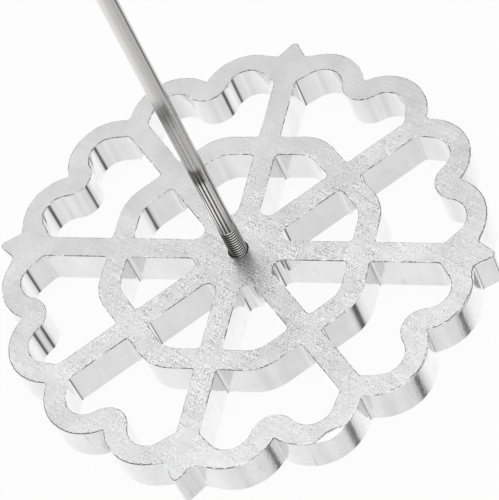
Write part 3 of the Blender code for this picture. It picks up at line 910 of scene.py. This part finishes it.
def lower_round(radius, z, corner):
    """Profile of a lower edge rounded by a quarter circle."""
    angles = np.linspace(0.0, math.pi / 2.0, CORNER_ROWS)
    return np.column_stack([
        radius - corner * (1.0 - np.sin(angles)), z + corner * (1.0 - np.cos(angles))
    ])


def make_grip(settings):
    """The turned grip: bored, with a tenon in the ferrule and a slot for the key.

    In the slot the bore's radius at an angle is the larger of the bore and the distance
    to a rectangle's side in that direction. The slot's top slopes by a few points' width.
    """
    rod, sizes, bore = settings.rod, settings.handle, bore_radius(settings)
    collar_z = FERRULE_HIGH.z + sizes.seat_gap
    low, high = GRIP_LOW.z, GRIP_HIGH.z
    tenon = sizes.ferrule_diameter / 2.0 - sizes.ferrule_wall - sizes.seat_gap
    fall = np.sin(np.linspace(0.0, math.pi / 2.0, GRIP_END_ROWS))
    share = np.concatenate([
        np.linspace(sizes.collar_share / 2.0, sizes.bulb_share, GRIP_ROWS, endpoint=False),
        sizes.bulb_share + (1.0 - sizes.bulb_share) * fall,
    ])
    outer = np.column_stack([swell(sizes, share), collar_z + (high - collar_z) * share])
    slot_top = key_height(rod) + rod.key_length + sizes.seat_gap
    profile = np.vstack([
        lower_round(tenon, low, sizes.ferrule_round),
        [[tenon, collar_z]],
        lower_round(sizes.collar_diameter / 2.0, collar_z, sizes.collar_edge),
        outer,
        [[bore, high], [bore, slot_top], [bore, slot_top - SAME_POINT], [bore, low]],
    ])
    grid = lathe(profile)
    cosine, sine, _ = around(1, ROUND_STEPS)
    across = (rod.key_width / 2.0 + sizes.bore_gap) / np.maximum(np.abs(cosine), SAME_POINT)
    through = (rod.key_thickness / 2.0 + sizes.bore_gap) / np.maximum(np.abs(sine), SAME_POINT)
    slot = np.maximum(bore, np.minimum(across, through))
    grid[-2:, :, 0] = slot * cosine
    grid[-2:, :, 1] = slot * sine
    grid[-2, :, 2] = slot_top - 4.0 * SAME_POINT
    make_grid_piece(
        "beech_grip", grid, oiled_beech(settings.finishes), "handle", ["grip"],
        close_rows=True,
    )


# Finishes: shader arithmetic, then one function for each material


class Signal:
    """A shader value that takes part in Python arithmetic by adding Math nodes."""

    def __init__(self, tree, socket):
        self.tree = tree
        self.socket = socket

    def maths(self, operation, *values):
        """A Math node over the given values."""
        node = self.tree.nodes.new("ShaderNodeMath")
        node.operation = operation
        for port, value in zip(node.inputs, values):
            put(self.tree, port, value)
        return Signal(self.tree, node.outputs[0])

    def through(self, operation, *others):
        """A Math node over this signal and any others."""
        return self.maths(operation, self, *others)

    def __add__(self, other):
        return self.through("ADD", other)

    def __sub__(self, other):
        return self.through("SUBTRACT", other)

    def __rsub__(self, other):
        return self.maths("SUBTRACT", other, self)

    def __mul__(self, other):
        return self.through("MULTIPLY", other)

    def __truediv__(self, other):
        return self.through("DIVIDE", other)

    def __pow__(self, other):
        return self.through("POWER", other)

    def __abs__(self):
        return self.through("ABSOLUTE")

    __radd__ = __add__
    __rmul__ = __mul__


def put(tree, port, value):
    """Links a signal to a socket, or sets the socket's own value."""
    if isinstance(value, Signal):
        tree.links.new(value.socket, port)
    else:
        port.default_value = value


class Nodes:
    """A node tree being filled."""

    def __init__(self, tree):
        self.tree = tree
        tree.nodes.clear()

    def add(self, kind, values=None, output=0, stops=None, **settings):
        """Adds a node: its settings first, then the values or links of its sockets.

        The stops of a colour ramp are its places and grey tones.
        """
        node = self.tree.nodes.new(kind)
        for name, setting in settings.items():
            setattr(node, name, setting)
        if stops:
            ramp = node.color_ramp
            while len(ramp.elements) < len(stops):
                ramp.elements.new(0.5)
            for element, (share, tone) in zip(ramp.elements, stops):
                element.position = share
                element.color = (tone, tone, tone, 1.0)
        for name, value in (values or {}).items():
            put(self.tree, node.inputs[name], value)
        if isinstance(output, tuple):
            return tuple(Signal(self.tree, node.outputs[name]) for name in output)
        return Signal(self.tree, node.outputs[output]) if len(node.outputs) else node

    def rise(self, value, low, high):
        """0 where a value is below low, 1 above high, and smooth between."""
        return self.add("ShaderNodeMapRange", {"Value": value, "From Min": low, "From Max": high},
                        interpolation_type="SMOOTHSTEP")

    def near(self, value, middle, reach):
        """1 where a value is at the middle, 0 beyond the reach on both sides."""
        return 1.0 - self.rise(abs(value - middle), 0.0, reach)

    def axes(self, source="Object"):
        """X, Y and Z of the object coordinates, or of another kind of coordinates."""
        spot = self.add("ShaderNodeTexCoord", output=source)
        return self.add("ShaderNodeSeparateXYZ", {"Vector": spot}, output=("X", "Y", "Z"))

    def grain(self, cells, detail=2.0, roughness=0.5, turn=0.0):
        """Noise between 0 and 1, with so many cells a metre each way, after a turn about Z.

        Half a cell is added, because noise is weakest on the planes between its cells.
        """
        spot = self.add("ShaderNodeTexCoord", output="Object")
        if turn:
            spot = self.add("ShaderNodeMapping", {"Vector": spot, "Rotation": (0.0, 0.0, -turn)})
        spot = self.add("ShaderNodeMapping", {
            "Vector": spot, "Scale": cells, "Location": (0.5, 0.5, 0.5)})
        return self.add("ShaderNodeTexNoise", {
            "Vector": spot, "Scale": 1.0, "Detail": detail, "Roughness": roughness})

    def blend(self, share, first, second):
        """A colour between two others."""
        return self.add("ShaderNodeMix", {"Factor": share, "A": first, "B": second},
                        output="Result", data_type="RGBA")


class Finish(Nodes):
    """A material of one Principled shader whose sockets are fed by named values."""

    def __init__(self, name):
        self.material = bpy.data.materials.new(name)
        self.material.use_nodes = True
        super().__init__(self.material.node_tree)

    def tinted(self, colour_value, strength):
        """A colour times a signal, through a Mix node set to multiply."""
        grey = self.add("ShaderNodeCombineColor", {"Red": strength, "Green": strength, "Blue": strength})
        return self.add("ShaderNodeMix", {"Factor": 1.0, "A": (*colour_value, 1.0), "B": grey},
                        output="Result", data_type="RGBA", blend_type="MULTIPLY")

    def bumped(self, height, distance, strength, normal=None):
        """A normal bent by a height of a given depth in metres."""
        values = {"Height": height, "Distance": distance, "Strength": strength}
        if normal is not None:
            values["Normal"] = normal
        return self.add("ShaderNodeBump", values)

    def done(self, **values):
        """Ends the tree in a Principled shader; underscores in names stand for spaces."""
        sockets = {name.replace("_", " "): value for name, value in values.items()}
        shader = self.add("ShaderNodeBsdfPrincipled", sockets)
        self.add("ShaderNodeOutputMaterial", {"Surface": shader})
        return self.material

    def metal(self, colour_value, tone, roughness, normal):
        """Ends the tree in a metal whose colour is multiplied by a tone."""
        return self.done(
            Base_Color=self.tinted(colour_value, tone), Metallic=1.0, Roughness=roughness, Normal=normal)


def sawn_aluminium(finishes):
    """Flat faces: pale grey with a sandy grain, faint slanting saw lines and soft clouds.

    The grain comes in patches and fades towards the rim and towards one side, where the
    face was ground smoother. The face is brighter towards -Y, with a slight twist.
    """
    finish = Finish("sawn_aluminium")
    x, y, _ = finish.axes()
    sand = finish.grain((6500.0, 6500.0, 5000.0), 2.0, 0.6) - 0.5
    cloud = finish.grain((110.0, 110.0, 110.0), 4.0, 0.6) - 0.5
    lines = finish.grain((90.0, 2400.0, 90.0), 2.0, 0.6, SAW_HEADING) - 0.5
    patch = finish.rise(finish.grain((300.0, 300.0, 300.0)), 0.34, 0.62)
    slope = (0.4 * x - y) * 12.0 + cloud
    coarse = finish.rise(slope + 4.0 * x, -0.6, 0.15) * (0.3 + 1.1 * patch)
    coarse = coarse * (1.4 - 250.0 * (x * x + y * y))
    # brighter towards -Y, with a slight twist
    toward_minus_y = finish.rise(slope, -1.0, 1.2) - 120.0 * x * y
    tone = 0.845 + (0.3 + 2.5 * coarse) * sand + (0.1 + 0.4 * coarse) * lines + 0.38 * cloud
    tone = (tone + 0.19 * toward_minus_y).through("MAXIMUM", 0.05)
    rough = finishes.sawn_roughness + 0.4 * sand + 0.2 * cloud
    normal = finish.bumped(0.7 * sand + 0.3 * lines, 0.04 * MM, 0.5)
    return finish.metal(finishes.sawn_colour, tone, rough, normal)


def extruded_aluminium(name, finishes, roughness, sanded):
    """Upright walls: bright and slightly uneven, with soft die marks from face to face.

    Sanded, between 0 and 1, is how much sandpaper has speckled and scuffed them.
    """
    finish = Finish(name)
    fine = finish.grain((2400.0, 2400.0, 30.0), 2.0, 0.6) - 0.5
    broad = finish.grain((330.0, 330.0, 34.0)) - 0.5
    cloud = finish.grain((150.0, 150.0, 110.0), 3.0, 0.6) - 0.5
    speckle = finish.grain((1400.0, 1400.0, 1100.0), 3.0, 0.7) - 0.5
    scuffs = finish.rise(finish.grain((700.0, 700.0, 90.0)), 0.60, 0.80)
    tone = 0.98 + 0.04 * fine + 0.08 * broad + 0.26 * cloud + 0.25 * sanded * speckle
    tone = tone - (0.08 + 0.14 * sanded) * scuffs
    rough = roughness + 0.03 * fine + 0.16 * cloud + 0.08 * scuffs
    facets = finish.bumped(broad, 0.10 * MM, 0.6)
    normal = finish.bumped(sanded * speckle + 0.2 * fine, 0.04 * MM, 0.8, facets)
    return finish.metal(finishes.wall_colour, tone, rough, normal)


def broken_edge(settings):
    """Deburred edges: brushed bright, with a broken dark line of painted shade and painted
    glints beside the flat face.

    The edge attribute is the distance from the flat face, in metres. On the rim the painted
    shade is heavier along two sides and beside the nick, and thinner on one side between
    them. Where an edge is wide, its far side has a painted highlight.
    """
    finish = Finish("broken_edge")
    away = finish.add("ShaderNodeAttribute", output="Fac", attribute_name="edge")
    x, y, _ = finish.axes()
    on_rim = finish.rise((x * x + y * y) ** 0.5, *RIM_STARTS)
    heading = y.through("ARCTAN2", x)
    # painted shade: on the rim the dark line is heavier on two sides and beside the nick, thinner on one
    # side
    edge_shade_sides = 0.72 * finish.near(heading, *BROAD_EDGE_SHADE) + finish.near(heading, *NARROW_EDGE_SHADE)
    filed = finish.near(heading, *THIN_EDGE_SHADE)
    shade_beside_nick = finish.near(heading, settings.flower.nick_heading, NICK_REACH)
    brushed = finish.grain((1800.0, 1800.0, 1800.0), 2.0, 0.6) - 0.5
    shade_and_glint = finish.grain((900.0, 900.0, 900.0), 4.0, 0.7)
    shade_and_glint = shade_and_glint + 0.8 * (finish.grain((160.0, 160.0, 160.0)) - 0.5)
    shade_and_glint = shade_and_glint + on_rim * (0.25 * edge_shade_sides - 0.19 * filed + 0.4 * shade_beside_nick)
    beside = 1.0 - finish.rise(away, 0.16 * MM, 0.30 * MM)
    # painted shade: the broken dark line beside the flat face
    line = finish.rise(shade_and_glint, 0.32, 0.64) * beside
    # painted glints where the dark line breaks
    painted_glint = (1.0 - finish.rise(shade_and_glint, 0.30, 0.42)) * beside
    tone = 1.0 + 0.3 * brushed - 0.82 * line + 0.5 * painted_glint
    # painted highlight on the far side of the widest edges, mostly the nick
    tone = tone + 0.2 * finish.rise(away, 0.45 * MM, 0.70 * MM)
    rough = 0.26 + 0.25 * line + 0.2 * brushed
    normal = finish.bumped(brushed, 0.03 * MM, 0.5)
    return finish.metal(settings.finishes.wall_colour, tone, rough, normal)


def tapped_aluminium(finishes):
    """The cut thread in the hole, duller than the walls."""
    finish = Finish("tapped_aluminium")
    cut = finish.grain((900.0, 900.0, 2400.0), 2.0, 0.6)
    tone, rough = 0.45 + 0.3 * (cut - 0.5), 0.34 + 0.2 * (cut - 0.5)
    return finish.metal(finishes.wall_colour, tone, rough, finish.bumped(cut, 0.01 * MM, 0.4))


class RodFinish(Finish):
    """The rod's finish: tone by side, height and two kinds of wear, painted reflection and shade."""

    def __init__(self, name, rod):
        super().__init__(name)
        self.rod, self.shoulder = rod, shoulder_height(rod)
        x, y, self.z = self.axes()
        self.across = (x * x + y * y) ** 0.5
        self.angle = y.through("ARCTAN2", x)
        self.drawn = self.grain((3200.0, 3200.0, 22.0), 2.0, 0.6) - 0.5
        self.wear = self.grain((500.0, 500.0, 120.0), 3.0, 0.6) - 0.5
        self.level = self.z + 5.0 * MM * self.wear
        self.straight = 1.0 - self.rise(self.z, GRIP_HIGH.z, WASHER_HIGH.z)
        self.strong = self.below(LOW_SMUDGE)
        self.between = self.below(HIGH_SMUDGE) - self.strong
        # painted shade on one side of the rod and its thread
        self.side_shade = self.side(SHADE_SIDE, 0.55, 0.95)
        self.hand = self.side(HAND_SIDE, 0.5, 0.85)
        # a rougher scuffed stripe whose tone carries a painted highlight over a reflected dark line
        self.scuffed = self.straight * self.near(self.angle, SCUFF_AND_HIGHLIGHT_SIDE, 0.30)

    def side(self, heading, low, high):
        """1 on the side at a heading, 0 where the cosine of the angle from it is below low."""
        return self.rise((self.angle - heading).through("COSINE"), low, high)

    def below(self, height):
        """1 below a smudge's height and 0 above it."""
        return 1.0 - self.rise(self.level, height - 2.0 * MM, height + 1.5 * MM)

    def smudges(self, level):
        """Strength of two finger smudges: an even one below, one with a long tail above it."""
        low, high = LOW_SMUDGE, HIGH_SMUDGE
        lower = self.rise(level, low - 4.2 * MM, low - 2.0 * MM)
        lower = lower * (1.0 - self.rise(level, low + 1.2 * MM, low + 3.2 * MM))
        upper = self.rise(level, high - 9.0 * MM, high)
        upper = upper * (1.0 - self.rise(level, high + 0.2 * MM, high + 5.5 * MM))
        return lower + 0.8 * upper

    def reflection_stripes(self, striped):
        """Lengthwise dark stripes of painted reflection: a cosine of the heading that slants slowly with
        the height.
        """
        turns = (self.angle + STRIPE_TURN) * STRIPES_AROUND + self.z * STRIPE_SLANT + 2.5 * self.drawn
        marks = self.rise(turns.through("COSINE") + 0.35 * self.side_shade, -0.2, 0.9)
        return marks * (0.12 + 0.88 * striped) * (0.88 * self.strong + 0.30 * self.between)

    def painted_reflection_line(self):
        """A dark line of painted reflection up one side of the rod, fainter between the smudges."""
        line = self.near(self.angle + 0.1 * self.wear, REFLECTION_LINE_SIDE, 0.27)
        line = line * self.rise(self.z, self.shoulder, self.shoulder + 3.0 * MM)
        # rubbed marks only where the painted reflection line is fainter, between the smudges
        rubbed = 1.0 - self.rise(self.level, HIGH_SMUDGE, HIGH_SMUDGE + 8.0 * MM) - self.strong
        return line * self.straight * (1.0 - 0.55 * rubbed)

    def bare_tone(self):
        """Brightness of the rod above its thread."""
        # painted highlight on one side of the bare rod
        bright = self.side(BRIGHT_SIDE, 0.0, 0.9)
        striped = self.side(STRIPED_SIDE, 0.25, 0.55)
        smudge = self.hand * self.smudges(self.level)
        thumb = self.near(self.angle, THUMB_SIDE, 0.5)
        smudge = smudge + 0.8 * thumb * self.smudges(self.level - 2.2 * MM)
        tone = 0.93 + 0.20 * self.drawn + 0.10 * self.wear + 0.34 * bright * self.straight
        # the scuffed stripe's painted highlight, and the stripes of painted reflection
        tone = tone * (1.0 + 0.35 * self.scuffed) * (1.0 - self.reflection_stripes(striped))
        # a little darker between the smudges, with painted shade on one side
        tone = tone * (1.0 - 0.06 * self.between - 0.24 * self.between * self.side_shade)
        # painted reflection: the striped side is brighter below the first smudge
        tone = tone * (1.0 + (0.28 * striped - 0.02) * self.strong)
        # the smudges, and the dark line of painted reflection
        tone = tone * (1.0 - 0.72 * smudge) * (1.0 - 0.82 * self.painted_reflection_line())
        # darker over the first 8 mm above the thread
        return tone * (0.62 + 0.38 * self.rise(self.z, self.shoulder, self.shoulder + 8.0 * MM))

    def thread_tone(self):
        """Brightness of the thread: painted shade in its roots and on two sides, a bright band on top.
        """
        crest = self.rod.thread_diameter / 2.0
        crest = self.rise(self.across, crest - 0.22 * MM, crest)
        grey_side = self.side(GREY_SIDE, 0.55, 0.95)
        # painted shade: very dark roots between the bright crests, darker on one side
        tone = (0.07 + (1.3 + 0.6 * self.wear) * crest) * (1.0 - 0.8 * self.side_shade)
        # on another side the painted contrast is greyed
        tone = tone * (1.0 - 0.62 * grey_side) + 0.10 * grey_side
        # a bright band at the top of the thread, on one side
        top_band = self.near(self.z + 1.2 * MM * self.wear, self.shoulder - 0.1 * MM, 0.35 * MM)
        return tone + 1.1 * top_band * self.hand


def polished_steel(settings):
    """Rod and eye: polished lengthwise, with a duller thread that has painted shade.

    Above the thread the rod has lengthwise dark stripes of painted reflection, strong up
    to a first smudge and faint up to a second one, where one side has painted shade. The
    stripes show on one side. Another side has a painted highlight, one stripe is scuffed
    rougher with a painted highlight, and a dark line of painted reflection follows the rod up.
    """
    steel = RodFinish("polished_steel", settings.rod)
    threaded = 1.0 - steel.rise(steel.z, steel.shoulder - 0.3 * MM, steel.shoulder + 0.1 * MM)
    bare = steel.bare_tone()
    tone = bare + (steel.thread_tone() - bare) * threaded
    rough = settings.finishes.steel_roughness + 0.05 * steel.drawn + 0.08 * steel.wear
    rough = rough + 0.12 * threaded - 0.06 * steel.strong + 0.25 * steel.scuffed
    normal = steel.bumped(steel.drawn, 0.006 * MM, 0.3)
    return steel.metal(settings.finishes.steel_colour, tone, rough, normal)


def plated_steel(finishes):
    """Ferrule and washer: satin plate with faint turning lines and small rubbed spots."""
    finish = Finish("plated_steel")
    lines = finish.grain((60.0, 60.0, 3000.0), 2.0, 0.6)
    rubbed = finish.grain((260.0, 260.0, 260.0), 4.0, 0.6)
    tone = 1.0 + 0.08 * (lines - 0.5) + 0.16 * (rubbed - 0.5)
    rough = finishes.plate_roughness + 0.08 * (lines - 0.5) + 0.14 * (rubbed - 0.5)
    return finish.metal(finishes.plate_colour, tone, rough, finish.bumped(lines, 0.005 * MM, 0.3))


def oiled_beech(finishes):
    """Turned beech: growth rings cut lengthwise, short dark flecks, pores and lathe lines."""
    finish = Finish("oiled_beech")
    drift = finish.grain((26.0, 26.0, 5.0))
    x, y, _ = finish.axes()
    depth = (x * 0.8 + y * 0.35) * 420.0 + drift * 7.0
    rings = 0.5 + 0.5 * depth.through("SINE")
    fibres = finish.grain((900.0, 900.0, 26.0), 3.0, 0.6)
    flecks = finish.rise(finish.grain((700.0, 700.0, 120.0), 1.0), 0.60, 0.70)
    turning = finish.grain((20.0, 20.0, 1800.0))
    share = 0.30 * rings + 0.55 * (fibres - 0.3) + 0.45 * flecks
    height = 0.6 * fibres + 0.25 * turning - 0.5 * flecks
    return finish.done(
        Base_Color=finish.blend(share, (*finishes.beech_light, 1.0), (*finishes.beech_dark, 1.0)),
        Roughness=finishes.beech_roughness + 0.16 * (fibres - 0.5) + 0.06 * (turning - 0.5),
        Coat_Weight=0.12,
        Coat_Roughness=0.3,
        Normal=finish.bumped(height, 0.04 * MM, 0.4),
    )


# Floor, light and camera


def white_floor(stage):
    """Floor that the camera sees white with a faint shadow, and other rays pass through.

    What the metal mirrors is the lit tent below and around it, as on a glass table.
    """
    floor = Finish("white_floor")
    backdrop = (*stage.backdrop, 1.0)
    lit = floor.add("ShaderNodeEmission", {"Color": backdrop, "Strength": 1.0})
    shaded = floor.add("ShaderNodeBsdfDiffuse", {"Color": backdrop})
    seen = floor.add("ShaderNodeMixShader", {0: stage.shadow_share, 1: lit, 2: shaded})
    camera = floor.add("ShaderNodeLightPath", output="Is Camera Ray")
    clear = floor.add("ShaderNodeBsdfTransparent")
    both = floor.add("ShaderNodeMixShader", {0: camera, 1: clear, 2: seen})
    floor.add("ShaderNodeOutputMaterial", {"Surface": both})
    return floor.material


def light_tent(stage):
    """World of a light tent: bright below and above, with lit panels between grey walls.

    Below, the tone depends on the heading counted from one narrow dark gap in the tent.
    At the height of the walls three panels shine between grey cloth, and overhead the
    tent is plain white.
    """
    world = bpy.data.worlds.new("light_tent")
    world.use_nodes = True
    tent = Nodes(world.node_tree)
    x, y, z = tent.axes("Generated")
    heading = y.through("ARCTAN2", x) - stage.gap_azimuth
    share = (heading / math.tau).through("FRACT")
    below, walls = (
        tent.add("ShaderNodeValToRGB", {"Fac": share}, output="Color", stops=tones)
        for tones in (LOW_TONES, WALL_TONES)
    )
    sides = tent.blend(tent.rise(z, *LOW_TO_WALLS), below, walls)
    around_it = tent.blend(tent.rise(z, *WALLS_TO_TOP), sides, (1.0, 1.0, 1.0, 1.0))
    camera = tent.add("ShaderNodeLightPath", output="Is Camera Ray")
    seen = tent.blend(camera, around_it, (*stage.backdrop, 1.0))
    light = tent.add("ShaderNodeBackground", {"Color": seen, "Strength": 1.0})
    tent.add("ShaderNodeOutputWorld", {"Surface": light})
    return world


def make_floor(stage):
    """One flat square under the flower."""
    half = stage.floor_size / 2.0
    corners = [(-half, -half), (half, -half), (half, half), (-half, half)]
    mesh = bpy.data.meshes.new("floor")
    mesh.from_pydata([(x, y, -stage.floor_drop) for x, y in corners], [], [(0, 1, 2, 3)])
    mesh.materials.append(white_floor(stage))
    floor = placed("floor", mesh)


def make_lamp(stage):
    """One soft square lamp that faces the middle of the flower."""
    lamp = bpy.data.lights.new("soft_lamp", "AREA")
    lamp.shape = "SQUARE"
    lamp.size = stage.lamp_size
    lamp.energy = stage.lamp_power
    softbox = placed("soft_lamp", lamp)
    softbox.location = stage.lamp_place
    softbox.rotation_euler = (-Vector(stage.lamp_place)).to_track_quat("-Z", "Y").to_euler()


def make_camera(stage):
    """The camera at its distance from the aim, looking at it and then rolled."""
    view = bpy.data.cameras.new("camera")
    view.sensor_fit = "HORIZONTAL"
    view.sensor_width = SENSOR_MILLIMETRES
    view.lens = stage.focal_length
    view.clip_start = CLIP_START
    camera = placed("camera", view)
    level = math.cos(stage.elevation)
    back = Vector((level * math.cos(stage.azimuth), level * math.sin(stage.azimuth),
                   math.sin(stage.elevation)))
    camera.location = Vector(stage.aim) + back * stage.distance
    camera.rotation_mode = "QUATERNION"
    camera.rotation_quaternion = back.to_track_quat("Z", "Y") @ Quaternion((0.0, 0.0, 1.0), stage.roll)
    return camera


def make_stage(settings):
    """Floor, tent, one soft lamp and the camera at the picture's angle."""
    stage, scene = settings.stage, bpy.context.scene
    make_floor(stage)
    scene.world = light_tent(stage)
    make_lamp(stage)
    scene.camera = make_camera(stage)
    scene.view_settings.view_transform = "Standard"


# The add-on's operators and panel


class BuildFlower(bpy.types.Operator):
    """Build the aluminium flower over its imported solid"""

    bl_idname = "rosette_iron.build_flower"
    bl_label = "Flower"

    def execute(self, context):
        make_flower(context.scene.rosette_iron)
        return {"FINISHED"}


class BuildRod(bpy.types.Operator):
    """Build the threaded steel rod with its hanging eye"""

    bl_idname = "rosette_iron.build_rod"
    bl_label = "Rod"

    def execute(self, context):
        make_rod(context.scene.rosette_iron)
        return {"FINISHED"}


class BuildFerrule(bpy.types.Operator):
    """Build the plated cup at the grip's lower end"""

    bl_idname = "rosette_iron.build_ferrule"
    bl_label = "Ferrule"

    def execute(self, context):
        make_ferrule(context.scene.rosette_iron)
        return {"FINISHED"}


class BuildGrip(bpy.types.Operator):
    """Build the turned beech grip"""

    bl_idname = "rosette_iron.build_grip"
    bl_label = "Grip"

    def execute(self, context):
        make_grip(context.scene.rosette_iron)
        return {"FINISHED"}


class BuildWasher(bpy.types.Operator):
    """Build the washer between grip and eye"""

    bl_idname = "rosette_iron.build_washer"
    bl_label = "Washer"

    def execute(self, context):
        make_washer(context.scene.rosette_iron)
        return {"FINISHED"}


class SetStage(bpy.types.Operator):
    """Set the floor, the light tent, the lamp and the camera"""

    bl_idname = "rosette_iron.set_stage"
    bl_label = "Stage"

    def execute(self, context):
        make_stage(context.scene.rosette_iron)
        return {"FINISHED"}


class RosetteIronPanel(bpy.types.Panel):
    """Sizes, colours and the steps that build the rosette iron"""

    bl_idname = "VIEW3D_PT_rosette_iron"
    bl_label = "Rosette Iron"
    bl_space_type = "VIEW_3D"
    bl_region_type = "UI"
    bl_category = "Rosette Iron"

    def draw(self, context):
        settings = context.scene.rosette_iron
        for group in (settings.flower, settings.rod, settings.handle, settings.finishes, settings.stage):
            column = self.layout.column(align=True)
            for name in group.__annotations__:
                column.prop(group, name)
        for step in STEPS:
            self.layout.operator(step.bl_idname)


STEPS = (BuildFlower, BuildRod, BuildFerrule, BuildGrip, BuildWasher, SetStage)
CLASSES = (
    FlowerSizes, RodSizes, HandleSizes, Finishes, StageSettings, RosetteIronSettings,
    *STEPS, RosetteIronPanel,
)


def register():
    """Makes the classes and the settings known."""
    for cls in CLASSES:
        bpy.utils.register_class(cls)
    bpy.types.Scene.rosette_iron = bpy.props.PointerProperty(
        type=RosetteIronSettings, name="Rosette iron", description="Sizes and colours")


def unregister():
    """Takes back what register did, in reverse order."""
    del bpy.types.Scene.rosette_iron
    for cls in reversed(CLASSES):
        bpy.utils.unregister_class(cls)


def main():
    """Registers the add-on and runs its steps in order."""
    register()
    for step in STEPS:
        group, name = step.bl_idname.split(".")
        getattr(getattr(bpy.ops, group), name)()


if __name__ == "__main__":
    main()
